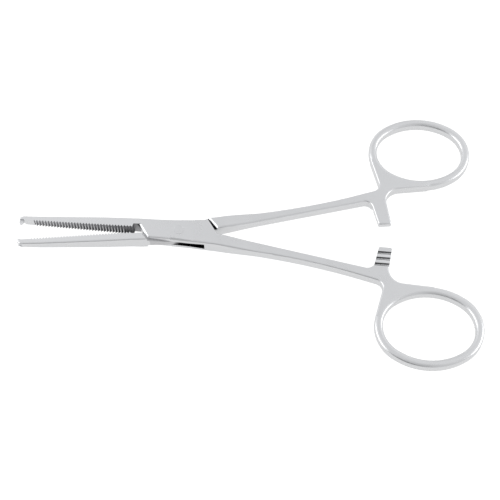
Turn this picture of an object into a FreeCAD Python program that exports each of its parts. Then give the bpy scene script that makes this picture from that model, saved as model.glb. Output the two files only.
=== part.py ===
import FreeCAD, Part
import math
import os

V = FreeCAD.Vector

# Hysterectomy forceps: a box-lock clamp of two forged halves and one lock pin.
#
# The frame: the pin's axis is the line x = y = 0, the instrument lies on z = 0, and
# the jaws point to -X. Both halves are drawn shut, along the X axis. The female half
# has its jaw on +Y and its finger ring on -Y, and the male half is its mirror image.
# Each is then turned about the pin by the opening angle, one each way.

DIMS = {
    # The whole instrument
    "female_opening": 3.87,
    "male_opening": 4.2,
    "box_thick": 4.8,
    "shank_thick": 3.4,
    # Jaws, as widths from the closing line at stations along X
    "female_jaw_length": 49.1,
    "male_jaw_length": 48.8,
    "jaw_tip_thick": 2.4,
    "jaw_root_thick": 4.6,
    "nose_length": 0.9,
    "female_nose_half": 1.30,
    "male_nose_half": 1.10,
    "nose_thick": 1.9,
    "female_tip_half": 1.60,
    "male_tip_half": 1.50,
    "female_jaw_fore_half": 1.84,
    "male_jaw_fore_half": 1.88,
    "jaw_fore_at": -42.0,
    "female_jaw_mid_half": 2.86,
    "male_jaw_mid_half": 2.45,
    "jaw_mid_at": -23.5,
    "jaw_blend": 3.0,
    "female_jaw_blend_half": 3.10,
    "male_jaw_blend_half": 2.55,
    "female_jaw_root_half": 3.20,
    "male_jaw_root_half": 2.75,
    # Box, as half widths: the jaw's side runs on from the jaw, the shank's side into the shank
    "box_length": 22.8,
    "box_half": 3.5,
    "box_end_half": 4.05,
    "female_flare": 5.0,
    "male_flare": 2.5,
    "box_back_half": 3.2,
    # Shanks, which are bent apart a little behind the box
    "female_bend": 0.53,
    "male_bend": 0.20,
    "female_root_swell": 0.2,
    "male_root_swell": 0.7,
    "shank_flat_at": 24.0,
    "shank_flat_half": 4.98,
    "female_shank_width": 3.25,
    "male_shank_width": 3.0,
    "shank_mid_at": 41.0,
    "shank_mid_half": 7.03,
    "shank_end_at": 57.0,
    "shank_end_half": 10.25,
    "shank_inner_angle": 9.19,
    # Box lock
    "wall_slant": 35.0,
    "bevel_to_jaws": 0.44,
    "bevel_to_rings": 0.16,
    "slot_thick": 1.8,
    "slot_flare": 0.55,
    "slot_flat_radius": 5.0,
    "slot_radius": 8.9,
    "swell_start": 9.0,
    "swell_half": 3.1,
    "run_gap": 0.05,
    "shoulder_gap": 0.15,
    "pin_radius": 1.0,
    "head_radius": 1.5,
    "head_depth": 0.5,
    # Jaw faces
    "jaw_gap": 0.1,
    "ridge_pitch": 0.9,
    "ridge_depth": 0.42,
    "ridge_land": 0.2,
    "ridge_count": 34,
    "ridge_start": 44.6,
    "female_relief": 1.1,
    "male_relief": 0.35,
    "tooth_length": 1.15,
    "tooth_width": 1.0,
    "tooth_height": 0.85,
    "prong_height": 0.35,
    "tooth_gap": 0.12,
    # Finger rings
    "ring_at": 75.6,
    "ring_offset": 24.5,
    "ring_long": 28.9,
    "ring_short": 23.3,
    "ring_wire": 2.5,
    "ring_tilt": 3.85,
    "ring_end_radius": 10.3,
    "ring_round": 1.05,
    "ring_flats": 3,
    "neck_left_angle": 14.5,
    "neck_low_angle": 6.0,
    "neck_fillet": 2.5,
    "web_fillet": 4.5,
    # Ratchet
    "ratchet_at": 62.12,
    "ratchet_width": 3.9,
    "ratchet_left_lean": 10.5,
    "ratchet_right_lean": 5.3,
    "ratchet_reach": 1.2,
    "ratchet_corner": 0.5,
    "ratchet_cut": 6.2,
    "ratchet_pitch": 2.0,
    "ratchet_teeth": 3,
    "ratchet_depth": 0.45,
    "ratchet_land": 1.1,
    "ratchet_gap": 0.1,
    "ratchet_clear": 11.0,
    "ratchet_fillet": 2.2,
    # Rounded edges
    "bar_round": 0.55,
}

doc = FreeCAD.newDocument("hysterectomy_forceps")
sheet = doc.addObject("Spreadsheet::Sheet", "dims")
for row, (name, value) in enumerate(DIMS.items(), start=1):
    sheet.set("A%d" % row, name)
    sheet.set("B%d" % row, str(value))
    sheet.setAlias("B%d" % row, name)
doc.recompute()


def dim(name):
    return float(sheet.get(name))


MID = dim("box_thick") / 2
BOX_END = dim("box_length") / 2
HALF_GAP = dim("jaw_gap") / 2
BEYOND = 5.0
SPARE = 0.1
TOUCH = 0.01


def turned(point, degrees):
    """The point, turned about the origin."""
    angle = math.radians(degrees)
    return V(point.x * math.cos(angle) - point.y * math.sin(angle),
             point.x * math.sin(angle) + point.y * math.cos(angle), point.z)


def corner_arc(before, corner, after, radius):
    """The arc that rounds a corner, from the line before it to the line after it."""
    first = (before - corner).normalize()
    second = (after - corner).normalize()
    half = first.getAngle(second) / 2
    bisector = (first + second).normalize()
    centre = corner + bisector * (radius / math.sin(half))
    start = corner + first * (radius / math.tan(half))
    end = corner + second * (radius / math.tan(half))
    middle = centre - bisector * radius
    return start, Part.Arc(start, middle, end), end


def meet(point, direction, other, other_direction):
    """Where two lines cross in the XY plane."""
    cross = direction.x * other_direction.y - direction.y * other_direction.x
    offset = other - point
    reach = (offset.x * other_direction.y - offset.y * other_direction.x) / cross
    return point + direction * reach


def line(start, end):
    return Part.LineSegment(start, end)


class Half:
    """One forged half, drawn shut. side is 1 for the male half, whose shank lies on +Y."""

    def __init__(self, name, side):
        self.name = name
        self.side = side
        self.tip = -dim(name + "_jaw_length")
        self.relief = dim(name + "_relief")
        self.bend = dim(name + "_bend")

    def size(self, name):
        """A size from the sheet that each half has its own value of."""
        return dim("%s_%s" % (self.name, name))

    def at(self, x, y):
        return V(x, y * self.side, 0)

    def sketch(self, what, geometry, placement=FreeCAD.Placement()):
        made = doc.addObject("Sketcher::SketchObject", "%s_%s" % (self.name, what))
        made.Placement = placement
        made.addGeometry(geometry, False)
        return made

    def extrusion(self, what, base, length):
        made = doc.addObject("Part::Extrusion", "%s_%s" % (self.name, what))
        made.Base = base
        made.DirMode = "Normal"
        made.Solid = True
        made.setExpression("LengthFwd", length)
        return made

    def polygon(self, what, points, length, placement=FreeCAD.Placement()):
        """A prism on a closed chain of points."""
        return self.extrusion(what, self.sketch(what + "_sketch", closed(points), placement), length)

    def loft(self, what, sections, straight=False):
        """A loft, with straight sides from each section to the next or smooth ones."""
        made = doc.addObject("Part::Loft", "%s_%s" % (self.name, what))
        made.Sections = sections
        made.Solid = True
        made.Ruled = straight
        return made

    def joined(self, what, shapes):
        made = doc.addObject("Part::MultiFuse", "%s_%s" % (self.name, what))
        made.Shapes = shapes
        return made

    def common(self, what, base, tool):
        made = doc.addObject("Part::Common", "%s_%s" % (self.name, what))
        made.Base = base
        made.Tool = tool
        return made

    def cut(self, what, base, tool):
        made = doc.addObject("Part::Cut", "%s_%s" % (self.name, what))
        made.Base = base
        made.Tool = tool
        return made

    def section(self, what, x, near, far, thickness):
        """A rounded rectangle across the bar at x, from its inner edge to its outer edge."""
        low, high = sorted((near * self.side, far * self.side))
        bottom, top = MID - thickness / 2, MID + thickness / 2
        corners = [V(low, bottom, 0), V(high, bottom, 0), V(high, top, 0), V(low, top, 0)]
        placement = FreeCAD.Placement(V(x, 0, 0), ACROSS)
        return self.sketch(what, rounded(corners, dim("bar_round")), placement)

    def shank_inner(self, x):
        """The straight inner edge of the shank."""
        start = dim("shank_flat_half") - self.size("shank_width")
        return start + (x - dim("shank_flat_at")) * slope("shank_inner_angle")

    def ring_arcs(self, grow):
        """The ring's oval as four arcs, from the left touch of the neck round to the low one."""
        long, short = dim("ring_long") / 2, dim("ring_short") / 2
        end = dim("ring_end_radius")
        flank = ((long - end) ** 2 + short ** 2 - end ** 2) / (2 * (short - end))
        lean = math.degrees(math.atan2(flank - short, long - end))
        return {
            "left": (V(end - long, 0, 0), end + grow),
            "right": (V(long - end, 0, 0), end + grow),
            "low": (V(0, flank - short, 0), flank + grow),
            "high": (V(0, short - flank, 0), flank + grow),
            "lean": lean,
        }

    def ring_place(self, centre, radius, degrees):
        """A point of an arc of the ring, in the half's own frame."""
        angle = math.radians(degrees)
        local = centre + V(radius * math.cos(angle), radius * math.sin(angle), 0)
        place = turned(local, -dim("ring_tilt"))
        return self.at(dim("ring_at") + place.x, dim("ring_offset") + place.y)

    def ring_arc(self, arcs, which, start, end):
        centre, radius = arcs[which]
        points = [self.ring_place(centre, radius, angle) for angle in (start, (start + end) / 2, end)]
        return points[0], Part.Arc(*points), points[2]

    def ring(self):
        """The finger ring: four arcs of one wire, each turned about its own centre."""
        arcs = self.ring_arcs(0)
        lean = arcs["lean"]
        wide, high = dim("ring_wire") / 2, dim("shank_thick") / 2
        corners = [V(-wide, -high, 0), V(wide, -high, 0), V(wide, high, 0), V(-wide, high, 0)]
        section = chamfered(corners, dim("ring_round"), int(dim("ring_flats")))
        parts = []
        for which, start in (("right", -lean), ("high", lean), ("left", 180 - lean), ("low", 180 + lean)):
            span = 2 * lean if which in ("left", "right") else 180 - 2 * lean
            centre, radius = arcs[which]
            hub = self.ring_place(centre, 0, 0)
            facing = FreeCAD.Rotation(V(0, 0, 1), self.side * (start - dim("ring_tilt")))
            placement = FreeCAD.Placement(hub, facing.multiply(FRONT.Rotation))
            points = [V(radius + point.x, MID + point.y, 0) for point in section]
            made = doc.addObject("Part::Revolution", "%s_ring_%s" % (self.name, which))
            made.Source = self.sketch("ring_%s_section" % which, closed(points), placement)
            made.Axis = V(0, 0, 1)
            made.Base = hub
            made.Angle = self.side * span
            made.Solid = True
            parts.append(made)
        return parts

    def plate(self):
        """The flat part of the forging: shank, ratchet arm and the web that the ring grows from."""
        arcs = self.ring_arcs(dim("ring_wire") / 2)
        wire = self.ring_arcs(0)
        lean = arcs["lean"]
        left_angle = 180 + dim("neck_left_angle")
        low_angle = 270 + dim("neck_low_angle")
        flat_at = dim("shank_flat_at")
        inner_start = self.at(flat_at, self.shank_inner(flat_at))
        inner_way = self.at(1, slope("shank_inner_angle"))
        outer_start = self.at(flat_at, dim("shank_flat_half"))
        outer_end = self.at(dim("shank_end_at"), dim("shank_end_half"))
        outer = Part.Arc(outer_end, self.at(dim("shank_mid_at"), dim("shank_mid_half")), outer_start)
        outer_way = outer.tangent(outer.FirstParameter)[0]

        # The web touches the ring's outside at two points and ends inside the wire
        low_touch = self.ring_place(*arcs["low"], low_angle)
        left_touch = self.ring_place(*arcs["left"], left_angle)
        low_in, low_arc, turn = self.ring_arc(wire, "low", low_angle, 180 + lean)
        _, left_arc, left_in = self.ring_arc(wire, "left", 180 + lean, left_angle)
        low_way = self.at(*across(turned(V(1, 0, 0), low_angle - 270 - dim("ring_tilt"))))
        left_way = self.at(*across(turned(V(0, 1, 0), left_angle - 180 - dim("ring_tilt"))))

        # The ratchet arm runs across, from the web to just past the centre line
        width = dim("ratchet_width") / 2
        reach = -dim("ratchet_reach")
        tip_left = self.at(dim("ratchet_at") - width, reach)
        tip_right = self.at(dim("ratchet_at") + width, reach)
        arm_left_way = self.at(-slope("ratchet_left_lean"), 1)
        arm_right_way = self.at(-slope("ratchet_right_lean"), 1)

        arm_corner = meet(inner_start, inner_way, tip_left, arm_left_way)
        web_corner = meet(low_touch, low_way, tip_right, arm_right_way)
        neck_corner = meet(outer_end, outer_way, left_touch, left_way)
        arm_arc = corner_arc(inner_start, arm_corner, tip_left, dim("ratchet_fillet"))
        first_tip = corner_arc(arm_corner, tip_left, tip_right, dim("ratchet_corner"))
        second_tip = corner_arc(tip_left, tip_right, web_corner, dim("ratchet_corner"))
        web_arc = corner_arc(tip_right, web_corner, low_touch, dim("web_fillet"))
        neck_arc = corner_arc(left_touch, neck_corner, outer_end, dim("neck_fillet"))

        chain = [
            line(inner_start, arm_arc[0]), arm_arc[1], line(arm_arc[2], first_tip[0]), first_tip[1],
            line(first_tip[2], second_tip[0]), second_tip[1], line(second_tip[2], web_arc[0]),
            web_arc[1], line(web_arc[2], low_touch), line(low_touch, low_in), low_arc, left_arc,
            line(left_in, left_touch), line(left_touch, neck_arc[0]), neck_arc[1],
            line(neck_arc[2], outer_end), outer, line(outer_start, inner_start),
        ]
        plan = self.extrusion("plate_plan", self.sketch("plate_outline", chain, lifted("shank")),
                              "dims.shank_thick")
        return self.softened("plate", plan, [low_in, turn, left_in])

    def handle(self):
        """Plate and ring, bent out a little about the pin."""
        made = self.joined("handle", [self.plate()] + self.ring())
        made.Placement = self.bent()
        return made

    def bent(self):
        return FreeCAD.Placement(V(), FreeCAD.Rotation(V(0, 0, 1), self.side * self.bend))

    def box(self):
        """The thick middle of the forging, which the lock is cut into."""
        shank_side = [self.at(-BOX_END, dim("box_back_half")), self.at(0, dim("box_half")),
                      self.at(BOX_END, dim("box_end_half"))]
        # The jaw's side starts along X at the jaw, so its rounded edge meets the jaw's
        begin, finish = self.size("jaw_root_half"), self.size("flare")
        middle = begin + (finish - begin) / 4
        jaw_side = [self.at(BOX_END, -finish), self.at(0, -middle), self.at(-BOX_END, -begin)]
        chain = [
            Part.Arc(*shank_side), line(shank_side[2], jaw_side[0]),
            Part.Arc(*jaw_side), line(jaw_side[2], shank_side[0]),
        ]
        plan = self.extrusion("box_plan", self.sketch("box_outline", chain), "dims.box_thick")
        return self.softened("box", plan)

    def softened(self, what, plan, buried=()):
        """The plan's pad with its long edges rounded, apart from those that end at a buried point."""
        doc.recompute()
        made = doc.addObject("Part::Fillet", "%s_%s" % (self.name, what))
        made.Base = plan
        edges = []
        for number, edge in enumerate(plan.Shape.Edges, start=1):
            box = edge.BoundBox
            flat = box.ZLength < TOUCH
            along = min(box.XLength, box.YLength) > TOUCH
            ends = [V(vertex.X, vertex.Y, 0) for vertex in edge.Vertexes]
            hidden = any(end.distanceToPoint(point) < TOUCH for end in ends for point in buried)
            if flat and along and not hidden:
                edges.append((number, dim("bar_round"), dim("bar_round")))
        made.Edges = edges
        return made

    def root(self, handle):
        """The shank's root, which thins from the box to the flat shank and ends on its rim."""
        start, end = BOX_END, dim("shank_flat_at")
        swing = end * math.tan(math.radians(self.bend))
        sections = []
        for number, share in enumerate((0.0, 0.25, 0.5, 0.75)):
            x = start + (end - start) * share
            ease = share * share * (3 - 2 * share)
            thickness = dim("box_thick") + (dim("shank_thick") - dim("box_thick")) * ease
            swell = self.size("root_swell") * share * (1 - share)
            far = dim("box_end_half") + (dim("shank_flat_half") + swing - dim("box_end_half")) * share + swell
            near = HALF_GAP + (self.shank_inner(end) + swing - HALF_GAP) * share
            sections.append(self.section("root_section_%d" % number, x, near, far, thickness))
        doc.recompute()
        rim = doc.addObject("Part::Feature", "%s_shank_rim" % self.name)
        rim.Shape = min(handle.Shape.Faces, key=lambda face: face.CenterOfMass.x).OuterWire
        return self.loft("root", sections + [rim], straight=True)

    def jaw(self):
        """The jaw, tapered both ways, still with spare metal past its inner face."""
        spare = self.size("jaw_root_half") / 3
        stations = [
            (self.tip + dim("nose_length"), self.size("tip_half")),
            (dim("jaw_fore_at"), self.size("jaw_fore_half")),
            (dim("jaw_mid_at"), self.size("jaw_mid_half")),
            (-BOX_END - dim("jaw_blend"), self.size("jaw_blend_half")),
        ]
        sections = []
        for number, (x, half) in enumerate(stations):
            share = (x - self.tip) / (-BOX_END - dim("jaw_blend") - self.tip)
            thickness = dim("jaw_tip_thick") + (dim("jaw_root_thick") - dim("jaw_tip_thick")) * share
            sections.append(self.section("jaw_section_%d" % number, x, spare, -half, thickness))
        root_half = self.size("jaw_root_half")
        root = self.section("jaw_root_section", -BOX_END, spare, -root_half, dim("box_thick"))
        body = self.loft("jaw_body", sections + [root], straight=True)
        nose_end = self.section("nose_section", self.tip, spare, -self.size("nose_half"), dim("nose_thick"))
        nose = self.loft("nose", [nose_end, sections[0]], straight=True)
        return [body, nose]

    def forging(self, more=()):
        """The rough half, before the lock, the jaw face and the ratchet are cut."""
        handle = self.handle()
        return self.joined("forging", [handle, self.box(), self.root(handle), *self.jaw(), *more])

    def jaw_face(self, foot):
        """What is cut off the jaw's inner face: the plain tip, ridges, and relief by the box.

        The ridges are one even wave, so the shut jaws interlock with a small gap. The relief
        ends at the foot and goes from there to the box's end on the closing line.
        """
        pitch = dim("ridge_pitch")
        wave = dim("ridge_depth") / 2
        count = int(dim("ridge_count"))
        start = -dim("ridge_start")
        land = pitch * dim("ridge_land")
        flank = pitch / 2 - land
        face = -self.side * HALF_GAP
        past = self.side * BEYOND
        relief = -self.side * self.relief
        points = [V(self.tip - BEYOND, face, 0), V(start, face, 0)]
        for number in range(count):
            x = start + number * pitch
            points += [V(x, face + wave, 0), V(x + land, face + wave, 0),
                       V(x + land + flank, face - wave, 0), V(x + 2 * land + flank, face - wave, 0)]
        end = start + count * pitch
        points += [V(end, relief, 0), V(foot, relief, 0), V(-BOX_END, 0, 0), V(-BOX_END, past, 0),
                   V(self.tip - BEYOND, past, 0)]
        return self.polygon("face", points, "dims.box_thick")

    def lens(self, what, radius, thickness):
        """A disc about the pin that thickens outwards, as the slot between the walls does."""
        flat = dim("slot_flat_radius")
        slope = dim("slot_flare") / (BOX_END - flat)
        hub = thickness / 2
        rim = hub + slope * (radius - flat)
        points = [V(0, MID - hub, 0), V(flat, MID - hub, 0), V(radius, MID - rim, 0),
                  V(radius, MID + rim, 0), V(flat, MID + hub, 0), V(0, MID + hub, 0)]
        made = doc.addObject("Part::Revolution", "%s_%s" % (self.name, what))
        made.Source = self.sketch(what + "_sketch", closed(points), FRONT)
        made.Axis = V(0, 0, 1)
        made.Angle = 360
        made.Solid = True
        return made

    def passage(self, what, radius, thickness, edge):
        """A disc about the pin with a neck out to each of the male half's roots."""
        far = BOX_END + BEYOND
        wide = self.lens(what + "_wide", far, thickness)
        parts = [self.lens(what + "_disc", radius, thickness)]
        for number, end in enumerate((1, -1)):
            corners = [(0, edge), (far, edge), (far, far), (0, far)]
            points = [V(end * x, end * y, 0) for x, y in corners]
            quarter = self.polygon("%s_quarter_%d" % (what, number), points, "dims.box_thick")
            parts.append(self.common("%s_neck_%d" % (what, number), wide, quarter))
        return self.joined(what, parts)

    def ratchet(self):
        """The half thickness of the arm that is cut away, down to a row of saw teeth."""
        level = -dim("ratchet_gap") / 2
        depth, pitch = dim("ratchet_depth"), dim("ratchet_pitch")
        root = dim("ratchet_cut")
        first = root - dim("ratchet_teeth") * pitch
        steps = [(-BEYOND, MID), (-BEYOND, level), (first, level)]
        for number in range(int(dim("ratchet_teeth"))):
            foot = first + number * pitch
            steps += [(foot, level - depth), (foot + pitch - dim("ratchet_land"), level),
                      (foot + pitch, level)]
        steps.append((root, MID))
        points = [V(self.side * y, MID - self.side * z, 0) for y, z in steps]
        near = dim("ratchet_at") - dim("ratchet_clear") / 2
        placement = self.bent().multiply(FreeCAD.Placement(V(near, 0, 0), ACROSS))
        return self.polygon("ratchet", points, "dims.ratchet_clear", placement)

    def slab(self, what, points, width):
        """A prism of a plan, of this width in the thickness and centred in it."""
        sketch = self.sketch(what + "_sketch", closed(points))
        sketch.setExpression("Placement.Base.z", "(dims.box_thick - (%s)) / 2" % width)
        return self.extrusion(what, sketch, width)

    def end_bevels(self, end, away, inwards, more=0.0):
        """What is cut off the top and bottom edges along the slanted end of the walls.

        The edge lies this far from the walls' end. The bevel goes inwards, towards the pin,
        or outwards. It runs to the closing line and this much more.
        """
        cutters = []
        width = dim("bevel_to_rings" if end * inwards > 0 else "bevel_to_jaws")
        slant = FreeCAD.Rotation(V(0, 0, 1), dim("wall_slant") + (180 if end < 0 else 0))
        far = wall_line(end, away)[1]
        for name, up in (("top", 1), ("bottom", -1)):
            steps = [(-inwards * (width + SPARE), SPARE), (inwards * SPARE, SPARE),
                     (inwards * SPARE, -width - SPARE)]
            points = [V(x, MID + up * (MID + z), 0) for x, z in steps]
            placement = FreeCAD.Placement(far, slant.multiply(FRONT.Rotation))
            what = "bevel_%s_%s" % ("right" if end > 0 else "left", name)
            length = "dims.box_length / 2 + %.3f" % more
            cutters.append(self.polygon(what, points, length, placement))
        return cutters

    def fang(self, height):
        """The plan of a pointed tip tooth that stands this far past the closing line."""
        length = dim("tooth_length")
        base = -self.size("nose_half")
        steps = [(0, base), (0, height * 0.6), (length * 0.25, height), (length * 0.55, height),
                 (length, -HALF_GAP), (length, base)]
        return [self.at(self.tip + x, y) for x, y in steps]


class Female(Half):
    """The outer half: two walls with a slot between them, and one tooth at the jaw's tip."""

    def build(self, pin):
        slot = self.passage("slot", dim("slot_radius"), dim("slot_thick"), -HALF_GAP)
        foot = -BOX_END - self.relief * slope("wall_slant")
        cuts = [self.jaw_face(foot), slot, self.ratchet(), self.recess(), pin]
        for number, end in enumerate((1, -1)):
            cuts.append(self.wall_end(number, end))
        up_the_relief = self.relief / math.cos(math.radians(dim("wall_slant")))
        cuts += self.end_bevels(1, 0, 1) + self.end_bevels(-1, 0, 1, up_the_relief)
        body = self.cut("body", self.forging(), self.joined("cuts", cuts))
        tooth = self.slab("tooth", self.fang(dim("tooth_height")), "dims.tooth_width")
        return self.joined("half", [body, tooth])

    def wall_end(self, number, end):
        """What is cut off past the slanted end of the two walls, on the male root's side."""
        near, far = wall_line(end, 0)
        beyond = end * (BOX_END + BEYOND)
        points = [near, far, V(beyond, far.y, 0), V(beyond, 0, 0)]
        return self.polygon("wall_end_%d" % number, points, "dims.box_thick")

    def recess(self):
        """Room beside the tooth for the other jaw's two prongs."""
        depth = -dim("prong_height") - dim("tooth_gap")
        steps = [(-1, depth), (dim("tooth_length") + dim("tooth_gap"), depth),
                 (dim("tooth_length") + 3 * dim("tooth_gap"), 0), (-1, 0)]
        points = [self.at(self.tip + x, y) for x, y in steps]
        return self.slab("recess", points, "dims.box_thick")


class Male(Half):
    """The inner half: a thin tongue between two shoulders, and two prongs at the jaw's tip."""

    def build(self, pin):
        tongue = self.passage("tongue", dim("slot_radius") - dim("shoulder_gap"),
                              dim("slot_thick") - 2 * dim("run_gap"), HALF_GAP)
        right, right_far = wall_line(1, dim("shoulder_gap"))
        left, left_far = wall_line(-1, dim("shoulder_gap"))
        points = [right, right_far, V(left.x, BOX_END, 0), left, left_far, V(right.x, -BOX_END, 0)]
        waist = self.polygon("waist", points, "dims.box_thick")
        bore = doc.addObject("Part::Cylinder", "male_bore")
        bore.setExpression("Radius", "dims.pin_radius + dims.run_gap")
        bore.setExpression("Height", "dims.box_thick")
        cuts = [self.jaw_face(-BOX_END), self.cut("shoulders", waist, tongue), self.ratchet(), bore]
        for end in (1, -1):
            cuts += self.end_bevels(end, dim("shoulder_gap"), -1)
        body = self.cut("body", self.forging([self.swell()]), self.joined("cuts", cuts))
        prongs = self.slab("prongs", self.fang(dim("prong_height")), "dims.nose_thick")
        end = dim("tooth_length") + dim("tooth_gap")
        steps = [(-1, -BEYOND), (end, -BEYOND), (end, BEYOND), (-1, BEYOND)]
        notch = self.slab("notch", [self.at(self.tip + x, y) for x, y in steps],
                          "dims.tooth_width + 2 * dims.tooth_gap")
        return self.cut("half", self.joined("pronged", [body, prongs]), notch)


    def swell(self):
        """Where the tongue's side stands out about as far as the walls, from the jaw to past the pin."""
        crest, foot = dim("swell_half"), dim("male_flare")
        steps = [(-dim("swell_start"), 1), (-dim("swell_start"), self.size("jaw_root_half") - TOUCH),
                 (-dim("swell_start") / 2, crest), (-dim("swell_start") / 4, crest),
                 (dim("swell_start") * 0.75, foot), (dim("swell_start") * 0.75, 1)]
        return self.polygon("swell", [self.at(x, -y) for x, y in steps], "dims.box_thick")


def wall_line(end, away):
    """Two points along the slanted end of the female walls, moved away from the pin."""
    slant = math.radians(dim("wall_slant"))
    out = V(math.cos(slant), math.sin(slant), 0)
    along = V(-math.sin(slant), math.cos(slant), 0)
    near = V(BOX_END + away / math.cos(slant), 0, 0)
    return near * end, (near + along * BOX_END) * end


def lock_pin():
    """The rivet: a shaft with a countersunk head at each end, ground flush with the walls."""
    shaft = doc.addObject("Part::Cylinder", "pin_shaft")
    shaft.setExpression("Radius", "dims.pin_radius")
    shaft.setExpression("Height", "dims.box_thick")
    heads = []
    for name, low in (("lower", True), ("upper", False)):
        head = doc.addObject("Part::Cone", "pin_%s_head" % name)
        wide, narrow = ("Radius1", "Radius2") if low else ("Radius2", "Radius1")
        head.setExpression(wide, "dims.head_radius")
        head.setExpression(narrow, "dims.pin_radius")
        head.setExpression("Height", "dims.head_depth")
        if not low:
            head.setExpression("Placement.Base.z", "dims.box_thick - dims.head_depth")
        heads.append(head)
    pin = doc.addObject("Part::MultiFuse", "lock_pin")
    pin.Shapes = [shaft] + heads
    pin.Refine = True
    return pin


def slope(name):
    """The rise over the run of an angle in the sheet."""
    return math.tan(math.radians(dim(name)))


def closed(points):
    return [line(start, end) for start, end in zip(points, points[1:] + points[:1])]


def across(vector):
    return vector.x, vector.y


def lifted(part):
    """The plane of the underside of a flat part that is centred in the thickness."""
    return FreeCAD.Placement(V(0, 0, MID - dim(part + "_thick") / 2), FreeCAD.Rotation())


def rounded(corners, radius):
    """A polygon whose corners are all rounded by the same radius."""
    arcs = []
    for number, corner in enumerate(corners):
        arcs.append(corner_arc(corners[number - 1], corner, corners[(number + 1) % len(corners)], radius))
    chain = []
    for number, (_, arc, end) in enumerate(arcs):
        chain += [arc, line(end, arcs[(number + 1) % len(arcs)][0])]
    return chain


def chamfered(corners, radius, flats):
    """A polygon whose corners are rounded in so many small flats."""
    points = []
    for number, corner in enumerate(corners):
        _, arc, _ = corner_arc(corners[number - 1], corner, corners[(number + 1) % len(corners)], radius)
        points += arc.discretize(Number=flats + 1)
    return points


ACROSS = FreeCAD.Rotation(V(1, 1, 1), 120)
FRONT = FreeCAD.Placement(V(0, 0, 0), FreeCAD.Rotation(V(1, 0, 0), 90))

pin = lock_pin()
female = Female("female", -1).build(pin)
male = Male("male", 1).build(pin)
nodes = {"female_half": female, "male_half": male, "lock_pin": pin}
for label, node in nodes.items():
    node.Label = label
doc.recompute()

upright = V(0, 0, 1)
female.Placement = FreeCAD.Placement(V(), FreeCAD.Rotation(upright, -dim("female_opening")))
male.Placement = FreeCAD.Placement(V(), FreeCAD.Rotation(upright, dim("male_opening")))
doc.recompute()

for item in doc.Objects:
    if "Invalid" in item.State or "Error" in item.State:
        raise RuntimeError("%s did not compute" % item.Name)
os.makedirs("parts", exist_ok=True)
for label, node in nodes.items():
    shape = node.Shape
    if shape.isNull() or not shape.isValid() or len(shape.Solids) != 1:
        raise RuntimeError("%s is not one valid solid" % label)
    print(label, "volume %.1f mm3" % shape.Volume)
    shape.exportStep("parts/%s.step" % label)
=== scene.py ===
# %% [markdown]
# Hysterectomy forceps, dressed for the camera.
# The real instrument is three pieces of stainless steel: two forged halves that pass through
# each other at a box lock, and a rivet ground flush with the lock's walls. The measured solids
# come in first and stay where they are, and each is then given its smooth skin and its finish;
# the narrow places of the halves get painted shade, and the wall-end bevels a painted highlight.

# %% Load the measured solids
import math
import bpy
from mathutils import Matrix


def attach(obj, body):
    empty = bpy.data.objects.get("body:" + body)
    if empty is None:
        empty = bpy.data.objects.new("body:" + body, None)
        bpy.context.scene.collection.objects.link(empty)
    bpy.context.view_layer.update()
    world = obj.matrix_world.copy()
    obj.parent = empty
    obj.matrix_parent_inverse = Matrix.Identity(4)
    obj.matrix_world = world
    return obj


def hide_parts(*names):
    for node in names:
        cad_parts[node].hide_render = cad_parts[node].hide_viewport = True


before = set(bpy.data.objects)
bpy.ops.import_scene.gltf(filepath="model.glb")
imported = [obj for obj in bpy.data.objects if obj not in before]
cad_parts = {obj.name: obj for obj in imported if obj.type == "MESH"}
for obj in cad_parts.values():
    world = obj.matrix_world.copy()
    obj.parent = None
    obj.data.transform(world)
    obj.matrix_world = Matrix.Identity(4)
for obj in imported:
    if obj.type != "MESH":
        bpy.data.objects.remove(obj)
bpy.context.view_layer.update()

from types import SimpleNamespace

import bmesh
import bpy
from mathutils import Matrix, Vector

MM = 0.001

# %% [markdown]
# The camera stands in front of the instrument and looks down on it, so that the top faces and
# the near side faces both show. It could be placed by its own coordinates, but those say
# little. The point that it aims at, its distance and three angles can each be changed alone.
# A long lens keeps the two finger rings nearly the same size.

# %% Set the camera
AIM = Vector((21.49, -5.26, 2.4)) * MM
DISTANCE = 323.6 * MM
TILT = math.radians(30.0)
YAW = math.radians(-3.40)
ROLL = math.radians(2.02)
SENSOR_WIDTH = 36.0
LENS = 77.83
NEAREST_SEEN = 0.01

turn = Matrix.Rotation(-YAW, 4, "Z") @ Matrix.Rotation(TILT, 4, "X") @ Matrix.Rotation(-ROLL, 4, "Z")
camera_data = bpy.data.cameras.new("camera")
camera_data.lens = LENS
camera_data.sensor_width = SENSOR_WIDTH
camera_data.clip_start = NEAREST_SEEN
camera = bpy.data.objects.new("camera", camera_data)
bpy.context.scene.collection.objects.link(camera)
camera.matrix_world = Matrix.Translation(AIM) @ turn @ Matrix.Translation((0, 0, DISTANCE))
bpy.context.scene.camera = camera
bpy.context.scene.view_settings.view_transform = "Standard"
print("camera at", [round(v, 3) for v in camera.matrix_world.translation])

# %% [markdown]
# Materials are trees of nodes. They could be wired by hand, node after node, but the same few
# steps come back in each. These helpers keep them short: one adds a node and sets its named
# inputs, one does a sum, one moves a value to another range, and one makes an empty material.

# %% Helpers for node trees
WHITE = (1.0, 1.0, 1.0, 1.0)


def feed(tree, socket, value):
    """Link a value that is a socket, and set any other value."""
    if isinstance(value, bpy.types.NodeSocket):
        tree.links.new(value, socket)
    else:
        socket.default_value = value


def add_node(tree, kind, **inputs):
    """A new node, with its inputs given by name."""
    made = tree.nodes.new(kind)
    for name, value in inputs.items():
        feed(tree, made.inputs[name.replace("_", " ")], value)
    return made


def arithmetic(tree, operation, first, second=0.0):
    """What a sum of one or two values gives."""
    made = tree.nodes.new("ShaderNodeMath")
    made.operation = operation
    feed(tree, made.inputs[0], first)
    feed(tree, made.inputs[1], second)
    return made.outputs[0]


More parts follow.
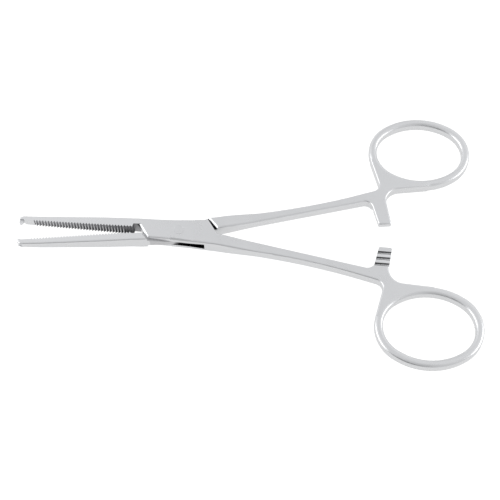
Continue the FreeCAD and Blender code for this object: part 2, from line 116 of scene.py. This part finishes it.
def spread(tree, value, low, high, to_low, to_high):
    """The value, moved from one range to another."""
    made = add_node(tree, "ShaderNodeMapRange", Value=value, From_Min=low, From_Max=high,
                    To_Min=to_low, To_Max=to_high)
    return made.outputs["Result"]


def new_material(name):
    """An empty material and its tree."""
    made = bpy.data.materials.new(name)
    made.use_nodes = True
    made.node_tree.nodes.clear()
    return made, made.node_tree


# %% [markdown]
# Steel instruments are lit in a white tent, because polished steel mirrors all that is round
# it. Two bright cloths at the sides put white on every face that looks left or right. They
# could be painted on the tent as well, but as area lamps they also draw soft shadows.

# %% Hang the side cloths
CLOTH_SIZE = (0.9, 0.55)
LEFT_AT = (-0.85, 0.0, 0.30)
LEFT_LEVEL = 1.45
RIGHT_AT = (0.90, 0.0, 0.30)
RIGHT_LEVEL = 1.25


def soft_lamp(name, place, size, level):
    """A rectangle of lit cloth that faces the instrument, as bright as level says."""
    data = bpy.data.lights.new(name, "AREA")
    data.shape = "RECTANGLE"
    data.size, data.size_y = size
    data.energy = level * math.pi * size[0] * size[1]
    lamp = bpy.data.objects.new(name, data)
    bpy.context.scene.collection.objects.link(lamp)
    facing = (AIM - Vector(place)).to_track_quat("-Z", "Y").to_matrix().to_4x4()
    lamp.matrix_world = Matrix.Translation(place) @ facing
    lamp.visible_camera = False
    print(name, "gives", round(data.energy, 2), "W")


soft_lamp("left_cloth", LEFT_AT, CLOTH_SIZE, LEFT_LEVEL)
soft_lamp("right_cloth", RIGHT_AT, CLOTH_SIZE, RIGHT_LEVEL)

# %% [markdown]
# The tent itself is the world, and its brightness follows the direction that a ray looks in.
# A photograph of a studio could do that, but a few sums are enough and can be tuned. The flat
# top faces mirror the cloth above the back, which is a little dimmer in its middle. The near
# rounded edges mirror the front, which is dimmer still, and the tent's opening there, a little
# to the left, is nearly dark: it draws the grey lines along the near shank and the dark streaks
# on the rings. The camera itself sees plain white.

# %% Paint the tent
FRONT_LEVEL = 0.50
FRONT_AT = -0.5
BACK_LEVEL = 0.70
BACK_AT = 0.4
SIDE_LIFT = 0.22
SIDE_AT = 0.22
OPENING_AT = Vector((-0.45, -0.85, 0.30)).normalized()
OPENING_CORE = math.cos(math.radians(8.0))
OPENING_RIM = math.cos(math.radians(27.0))
OPENING_DARK = 0.72
CLOTH_TINT = (0.985, 0.99, 1.0, 1.0)


def tent_level(tree):
    """How bright the tent is in the direction of a ray."""
    looking = add_node(tree, "ShaderNodeTexCoord").outputs["Generated"]
    parts = add_node(tree, "ShaderNodeSeparateXYZ", Vector=looking)
    across = arithmetic(tree, "ABSOLUTE", parts.outputs["X"])
    cloth = spread(tree, parts.outputs["Y"], FRONT_AT, BACK_AT, FRONT_LEVEL, BACK_LEVEL)
    lift = spread(tree, across, 0.0, SIDE_AT, 0.0, SIDE_LIFT)
    lifted = arithmetic(tree, "ADD", cloth, lift)
    towards = tree.nodes.new("ShaderNodeVectorMath")
    towards.operation = "DOT_PRODUCT"
    feed(tree, towards.inputs[0], looking)
    feed(tree, towards.inputs[1], OPENING_AT)
    dimmed = spread(tree, towards.outputs["Value"], OPENING_RIM, OPENING_CORE, 1.0, 1.0 - OPENING_DARK)
    return arithmetic(tree, "MULTIPLY", lifted, dimmed)


world = bpy.data.worlds.new("tent")
bpy.context.scene.world = world
world.use_nodes = True
tent = world.node_tree
tent.nodes.clear()
cloth = add_node(tent, "ShaderNodeBackground", Color=CLOTH_TINT, Strength=tent_level(tent))
backdrop = add_node(tent, "ShaderNodeBackground", Color=WHITE, Strength=1.0)
path = add_node(tent, "ShaderNodeLightPath")
seen = add_node(tent, "ShaderNodeMixShader", Fac=path.outputs["Is Camera Ray"])
tent.links.new(cloth.outputs[0], seen.inputs[1])
tent.links.new(backdrop.outputs[0], seen.inputs[2])
add_node(tent, "ShaderNodeOutputWorld", Surface=seen.outputs[0])
print("the tent has", len(tent.nodes), "nodes")

# %% [markdown]
# The floor is white paper. Lit paper alone would need so much light that the steel would burn
# out, so most of what the eye sees of it is the paper's own white. The steel mirrors it a
# little greyer, and the smaller share that comes from the lamps carries the faint shadow.

# %% Lay the floor
FLOOR_SIZE = 1.2
PAPER_SHARE = 0.22
PAPER_WHITE = 1.3
PAPER_MIRRORED = 0.95
PAPER_GREY = (0.85, 0.85, 0.85, 1.0)


def white_paper():
    """Paper that glows white to the eye and takes a faint shadow from the lamps."""
    made, tree = new_material("white_paper")
    path = add_node(tree, "ShaderNodeLightPath")
    lit = add_node(tree, "ShaderNodeBsdfDiffuse", Color=PAPER_GREY)
    strength = spread(tree, path.outputs["Is Camera Ray"], 0.0, 1.0, PAPER_MIRRORED, PAPER_WHITE)
    own = add_node(tree, "ShaderNodeEmission", Color=WHITE, Strength=strength)
    seen = arithmetic(tree, "MAXIMUM", path.outputs["Is Camera Ray"], path.outputs["Is Glossy Ray"])
    seen = arithmetic(tree, "MAXIMUM", seen, path.outputs["Is Transmission Ray"])
    share = arithmetic(tree, "MULTIPLY", seen, 1.0 - PAPER_SHARE)
    both = add_node(tree, "ShaderNodeMixShader", Fac=share)
    tree.links.new(lit.outputs[0], both.inputs[1])
    tree.links.new(own.outputs[0], both.inputs[2])
    add_node(tree, "ShaderNodeOutputMaterial", Surface=both.outputs[0])
    return made


floor_mesh = bpy.data.meshes.new("floor")
sheet = bmesh.new()
bmesh.ops.create_grid(sheet, x_segments=1, y_segments=1, size=FLOOR_SIZE / 2)
sheet.to_mesh(floor_mesh)
sheet.free()
floor_mesh.materials.append(white_paper())
floor = bpy.data.objects.new("floor", floor_mesh)
bpy.context.scene.collection.objects.link(floor)
print("the floor is", FLOOR_SIZE, "m wide")

# %% [markdown]
# The halves have a satin finish: the steel is brushed fine, so it mirrors softly and a little
# unevenly. One roughness over the whole piece would look like plastic, and a picture of brushed
# steel would need a map of the surface. Three layers of noise do without: wide clouds that
# change the roughness, long thin lines from the brush, and a fine grain. All of them read the
# object's own coordinates, so they stay with the steel when it moves. The rivet is ground flush
# in the same way. The bevels at the ends of the lock's walls are ground smoother, and their steel
# is painted much lighter than the rest, a painted highlight that makes them show white.

# %% Mix the brushed steels
CLOUD_SCALE = 220.0
CLOUD_LOW, CLOUD_HIGH = 0.3, 0.7
BRUSH_SCALE = (420.0, 9000.0, 9000.0)
LINE_DEPTH = 1.2e-6
GRAIN_SCALE = 12000.0
GRAIN_DEPTH = 0.8e-6


def steel(name, colour, rough, cloud=0.05):
    """Brushed stainless steel, as rough as given, more or less by cloud from place to place."""
    made, tree = new_material(name)
    place = add_node(tree, "ShaderNodeTexCoord").outputs["Object"]
    clouds = add_node(tree, "ShaderNodeTexNoise", Vector=place, Scale=CLOUD_SCALE, Detail=3.0,
                      Roughness=0.6)
    roughness = spread(tree, clouds.outputs["Fac"], CLOUD_LOW, CLOUD_HIGH, rough - cloud, rough + cloud)
    along = add_node(tree, "ShaderNodeMapping", Vector=place, Scale=BRUSH_SCALE)
    lines = add_node(tree, "ShaderNodeTexNoise", Vector=along.outputs[0], Scale=1.0, Detail=2.0)
    grain = add_node(tree, "ShaderNodeTexNoise", Vector=place, Scale=GRAIN_SCALE, Detail=1.0)
    rows = add_node(tree, "ShaderNodeBump", Strength=1.0, Distance=LINE_DEPTH,
                    Height=lines.outputs["Fac"])
    bump = add_node(tree, "ShaderNodeBump", Strength=1.0, Distance=GRAIN_DEPTH,
                    Height=grain.outputs["Fac"], Normal=rows.outputs[0])
    metal = add_node(tree, "ShaderNodeBsdfPrincipled", Base_Color=colour, Metallic=1.0,
                     Roughness=roughness, Normal=bump.outputs[0])
    add_node(tree, "ShaderNodeOutputMaterial", Surface=metal.outputs[0])
    print(name, "is rough by", rough)
    return made


satin = steel("brushed_satin", (0.76, 0.765, 0.775, 1.0), 0.30)
ground = steel("ground_flush", (0.75, 0.755, 0.765, 1.0), 0.29)
# painted highlight: the wall-end bevels get steel far lighter than the rest, so they show white
polished_highlight = steel("ground_bright", (0.97, 0.97, 0.975, 1.0), 0.16, cloud=0.02)

# %% [markdown]
# Where the steel would lie in shade, its colour is painted darker, and it is left rougher: in
# the grooves of the jaws, on the ratchet's cuts, inside the lock and in the pocket where the jaw
# meets it. Such narrow places shade themselves a little, but less than the real ones do under a
# studio's light, so the rest of their shade is painted. Each gets a grey that changes along a
# slant through the object: the grooves and cuts get lighter with the height, the lock's inside
# gets darker from the jaws towards the rings, where the slot stands open to the eye, and the
# pocket gets darker across its short length.

# %% Mix the steels with painted shade
PAINTED_SHADE_ROUGHNESS = 0.55


def painted_shade_steel(name, low_colour, high_colour, low, high, lean=0.0):
    """Steel with painted shade: one grey to another with the height plus lean times x."""
    made, tree = new_material(name)
    place = add_node(tree, "ShaderNodeTexCoord").outputs["Object"]
    parts = add_node(tree, "ShaderNodeSeparateXYZ", Vector=place)
    leaning = arithmetic(tree, "MULTIPLY", parts.outputs["X"], lean)
    height = arithmetic(tree, "ADD", parts.outputs["Z"], leaning)
    share = spread(tree, height, low, high, 0.0, 1.0)
    grey = add_node(tree, "ShaderNodeMix", Factor=share)
    grey.data_type = "RGBA"
    colours = [socket for socket in grey.inputs if socket.type == "RGBA"]
    colours[0].default_value = low_colour
    colours[1].default_value = high_colour
    mixed = next(socket for socket in grey.outputs if socket.type == "RGBA")
    metal = add_node(tree, "ShaderNodeBsdfPrincipled", Base_Color=mixed, Metallic=1.0,
                     Roughness=PAINTED_SHADE_ROUGHNESS)
    add_node(tree, "ShaderNodeOutputMaterial", Surface=metal.outputs[0])
    print(name, "changes over", round((high - low) / MM, 1), "mm")
    return made


# painted shade: grooves and cuts lighter with the height, the lock's inside darker towards the rings,
# the pocket darker across it
groove = painted_shade_steel("groove_painted_shade", (0.03, 0.03, 0.035, 1.0), (0.60, 0.60, 0.62, 1.0), 1.9 * MM, 6.6 * MM,
              lean=-0.05)
inside = painted_shade_steel("lock_painted_shade", (0.008, 0.008, 0.010, 1.0), (0.66, 0.66, 0.67, 1.0), 1.4 * MM, 3.8 * MM,
              lean=-1.0)
pocket = painted_shade_steel("pocket_painted_shade", (0.46, 0.46, 0.47, 1.0), (0.02, 0.02, 0.022, 1.0), -28.2 * MM, -26.9 * MM,
              lean=2.5)
cut = painted_shade_steel("cut_painted_shade", (0.13, 0.13, 0.135, 1.0), (0.20, 0.20, 0.205, 1.0), 1.4 * MM, 3.4 * MM)

# %% [markdown]
# One forging carries several finishes and several places of painted shade, so each face has to
# be given its own. Faces could be picked by number, but a number changes with every edit of the
# solid. They are found by where they lie and look instead. The halves are nearly the same shape
# turned over, so a place is measured as if the jaws were shut, from the rivet's axis and the
# middle of the thickness, with y counted towards the half's own finger ring. One set of zones, in
# millimetres, serves both.

# %% Name the places that get painted shade or a painted highlight
HALF_THICK = 2.4
STANDING = 0.5
MOSTLY = 0.5
SQUARELY = 0.9
GROOVES_X, GROOVES_Y = (-44.7, -13.9), (-0.4, 0.02)
HEEL_X, HEEL_Y = (-12.3, -11.0), (-1.3, 0.3)
RATCHET_X, RATCHET_Y, RATCHET_Z = (58.0, 65.0), (0.2, 6.2), (-0.6, 0.6)
ROOT_X = (8.8, 11.6)
SLOT_Z, SLOT_REACH = (-1.5, 1.5), 9.2
POCKET_X, POCKET_FROM = (-14.0, -12.4), -1.5
WALL_END_X, BEVEL_TILT = (8.5, 12.5), (0.5, 0.9)


def within(value, limits):
    """If a value lies between two limits."""
    return limits[0] < value < limits[1]


def place_of(face, side, opening):
    """Where a face lies and looks with the jaws shut. side is 1 for the male half."""
    back = Matrix.Rotation(-side * math.radians(opening), 3, "Z")
    middle = back @ face.calc_center_median() / MM
    facing = back @ face.normal
    return SimpleNamespace(x=middle.x, y=middle.y * side, z=middle.z - HALF_THICK, along=facing.x,
                           out=facing.y * side, up=abs(facing.z), male=side > 0,
                           standing=abs(facing.z) < STANDING)


print("the ridges run over", round(GROOVES_X[1] - GROOVES_X[0], 1), "mm of each jaw")

# %% [markdown]
# With the places named, each face is asked which of them it lies in. In a groove only the floor
# and the flank that looks towards the rings are painted in shade, and the flank that looks
# towards the tips keeps the satin, which makes each ridge read as light beside dark. In the lock
# the faces painted in shade are the slot's floor and ceiling, the tongue's two flat faces and its
# near flank, while the walls' outer sides stay brushed.

# %% Choose a finish or a painted shade for a face
# the middle four are painted shade, the last a painted highlight
SATIN, GROOVE, INSIDE, CUT, POCKET, POLISHED_HIGHLIGHT = range(6)
GROOVE_OUT = -0.2
FLOOR_ALONG = 0.3
SAWN_SQUARE = 0.97
BEVEL_ALONG = 0.4


def groove_satin_or_shade(at):
    """Satin or painted shade for a face between two ridges of the jaw, or None elsewhere."""
    in_row = within(at.x, GROOVES_X) and within(at.y, GROOVES_Y)
    if not (at.standing and in_row and at.out > GROOVE_OUT):
        return None
    on_floor = abs(at.along) < FLOOR_ALONG
    return GROOVE if on_floor or at.along > 0 else SATIN


def is_heel(at):
    """The recess between the ridges and the lock."""
    looks = at.out > MOSTLY or abs(at.along) > MOSTLY
    return at.standing and looks and within(at.x, HEEL_X) and within(at.y, HEEL_Y)


def is_cut(at):
    """A sawn flank of the ratchet, or the step where the male half's root meets the wall's end."""
    on_arm = within(at.x, RATCHET_X) and within(at.y, RATCHET_Y) and within(at.z, RATCHET_Z)
    at_root = at.male and within(at.x, ROOT_X) and at.along < -MOSTLY
    return at.standing and (on_arm and abs(at.out) > SAWN_SQUARE or at_root)


def is_inside(at):
    """The slot's floor and ceiling, and the tongue's flat faces and near flank."""
    near_pin = within(at.z, SLOT_Z) and math.hypot(at.x, at.y) < SLOT_REACH
    return near_pin and (at.up > SQUARELY or at.male and at.out < -MOSTLY)


def is_pocket(at):
    """The side of the female half's jaw where it runs into the lock."""
    looks = at.standing and at.out > SQUARELY
    return not at.male and looks and within(at.x, POCKET_X) and at.y > POCKET_FROM


def is_bevel(at):
    """The slanted bevel at the ring end of the female half's walls."""
    looks = at.along > BEVEL_ALONG and within(at.up, BEVEL_TILT)
    return not at.male and looks and within(at.x, WALL_END_X)


def finish_or_shade_of(at):
    """Which of the six materials a face has: satin, four painted shades or the painted highlight."""
    in_groove = groove_satin_or_shade(at)
    if in_groove is not None:
        return in_groove
    for test, finish in ((is_heel, GROOVE), (is_cut, CUT), (is_inside, INSIDE),
                         (is_pocket, POCKET), (is_bevel, POLISHED_HIGHLIGHT)):
        if test(at):
            return finish
    return SATIN


# groove, inside, cut and pocket are painted shade; the polished one carries a painted highlight
print("finishes: satin, groove, inside, cut, pocket, polished")

# %% [markdown]
# Each tooth of the ratchet has a slope and a small flat land, with a narrow facet on the line
# between the two. A line in the material would look the same from everywhere, so the facet is a
# real one: the edge between slope and land is found and bevelled flat. The facet takes the cut's
# painted shade, so it shows as a dark line.

# %% Find the crests of the ratchet's teeth
CREST_X = (57.0, 66.0)
CREST_WIDTH = 0.13 * MM
LAND_HEIGHT = 0.05
LAND_SLACK = 0.04
SLOPE_TILT = (0.8, 0.95)


def tooth_crest(edge, side):
    """If an edge of a ratchet tooth lies between its slope and its flat land."""
    if len(edge.link_faces) != 2:
        return False
    middle = (edge.verts[0].co + edge.verts[1].co) / 2 / MM
    steep, flat = sorted(abs(face.normal.z) for face in edge.link_faces)
    level = abs((middle.z - HALF_THICK) * side - LAND_HEIGHT) < LAND_SLACK
    return level and within(middle.x, CREST_X) and within(steep, SLOPE_TILT) and flat > SLOPE_TILT[1]


print("a crest is", round(CREST_WIDTH / MM, 2), "mm wide")

# %% [markdown]
# Each solid arrives as loose triangles, so it would shade flat. Smoothing them as they are
# would leave every edge as sharp as a knife, which no forging has. So a merged copy is made:
# the triangles are joined, and those that lie in one plane are dissolved into one face. The
# sharp edges then get the small bevel that grinding and handling leave.

# %% Merge the triangles and break the edges
MERGE_GAP = 0.004 * MM
FLAT_ANGLE = math.radians(0.6)
SHARP_ANGLE = math.radians(38.0)
EDGE_WIDTH = 0.08 * MM


def merged_copy(node):
    """The solid of a node as one joined shape, without its flat seams."""
    shape = bmesh.new()
    shape.from_mesh(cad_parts[node].data)
    bmesh.ops.remove_doubles(shape, verts=shape.verts, dist=MERGE_GAP)
    bmesh.ops.dissolve_limit(shape, angle_limit=FLAT_ANGLE, verts=shape.verts, edges=shape.edges)
    return shape


def give_finishes_and_shades(shape, side, opening):
    """Set each face's finish or painted shade, and cut the facets on the ratchet's teeth in painted
    shade.
    """
    for face in shape.faces:
        face.material_index = finish_or_shade_of(place_of(face, side, opening))
    crests = [edge for edge in shape.edges if tooth_crest(edge, side)]
    # the crest facets take the cut's painted shade, a dark line
    bmesh.ops.bevel(shape, geom=crests, affect="EDGES", offset=CREST_WIDTH, offset_type="OFFSET",
                    segments=1, profile=0.5, clamp_overlap=True, material=CUT)
    print("cut", len(crests), "tooth crests")


def break_edges(shape):
    """Bevel the sharp edges."""
    sharp = [edge for edge in shape.edges
             if len(edge.link_faces) == 2 and edge.calc_face_angle(0.0) > SHARP_ANGLE]
    bmesh.ops.bevel(shape, geom=sharp, affect="EDGES", offset=EDGE_WIDTH, offset_type="OFFSET",
                    segments=2, profile=0.5, clamp_overlap=True, material=-1)
    print("bevelled", len(sharp), "sharp edges")


print("edges sharper than", round(math.degrees(SHARP_ANGLE)), "degrees are broken")

# %% [markdown]
# Large flat faces beside narrow bevels shade as if they bulged, unless the large face decides
# how the light falls at their common corners. A weighted-normal modifier does that. It would
# draw the facets on the round rings, so the skin names the corners where it may work: all up
# to the rings, and on the rings those of the flat webs, whose faces have many corners.

# %% Turn a shape into a skin
RINGS_FROM = 60.0 * MM
WEB_CORNERS = 6
SHADE_ANGLE = math.radians(50.0)
FACE_WEIGHT = 80


def even_shading(made, flat):
    """Let the large faces decide the shading at the flat corners."""
    made.vertex_groups.new(name="flat").add(flat, 1.0, "REPLACE")
    even = made.modifiers.new("even_normals", "WEIGHTED_NORMAL")
    even.vertex_group = "flat"
    even.keep_sharp = True
    even.weight = FACE_WEIGHT


def finished_skin(shape, node, materials):
    """The object made from a shape, which is used up."""
    for face in shape.faces:
        face.smooth = True
    shape.verts.index_update()
    flat = [vert.index for vert in shape.verts if vert.co.x < RINGS_FROM
            or any(len(face.verts) > WEB_CORNERS for face in vert.link_faces)]
    mesh = bpy.data.meshes.new(node + "_skin")
    shape.to_mesh(mesh)
    shape.free()
    mesh.set_sharp_from_angle(angle=SHADE_ANGLE)
    for material in materials:
        mesh.materials.append(material)
    made = bpy.data.objects.new(node + "_skin", mesh)
    bpy.context.scene.collection.objects.link(made)
    even_shading(made, flat)
    print(node, "has", len(mesh.polygons), "faces")
    return made


def stand_for(made, node, body):
    """Let a skin stand for its solid and move with its body."""
    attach(made, body)
    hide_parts(node)


# %% [markdown]
# The female half is the outer one of the two: its lock is a box with a slot through it, its jaw
# carries the two prongs, and its ring is the near one on the right. It is one forging, so one
# skin takes the whole of it, and the six finishes and painted shades are told apart on that skin.
# With the jaws shut it would lie turned by its share of the opening.

# %% Dress the female half
FEMALE_OPENING = 3.87


def dress_half(node, body, side, opening):
    """The skin of a half, with its finishes and painted shades in the order of their numbers."""
    shape = merged_copy(node)
    give_finishes_and_shades(shape, side, opening)
    break_edges(shape)
    made = finished_skin(shape, node, (satin, groove, inside, cut, pocket, polished_highlight))
    stand_for(made, node, body)


dress_half("female_half", "female", -1, FEMALE_OPENING)

# %% [markdown]
# The male half is the inner one. Its thin tongue passes through the slot, its jaw carries the
# single tooth, and its ring is the far one. It is made in the same way, with the side turned,
# and it rides on the body that swings about the rivet.

# %% Dress the male half
MALE_OPENING = 4.2

dress_half("male_half", "male", 1, MALE_OPENING)

# %% [markdown]
# The rivet holds the halves together for good. Its heads are countersunk and ground flush with
# the walls, so it hardly shows. It could be left out, but the lock can't work without it. It
# takes the same smooth skin with one finish, and it turns with the female half.

# %% Dress the rivet
rivet_shape = merged_copy("lock_pin")
break_edges(rivet_shape)
pin = finished_skin(rivet_shape, "lock_pin", (ground,))
stand_for(pin, "lock_pin", "female")
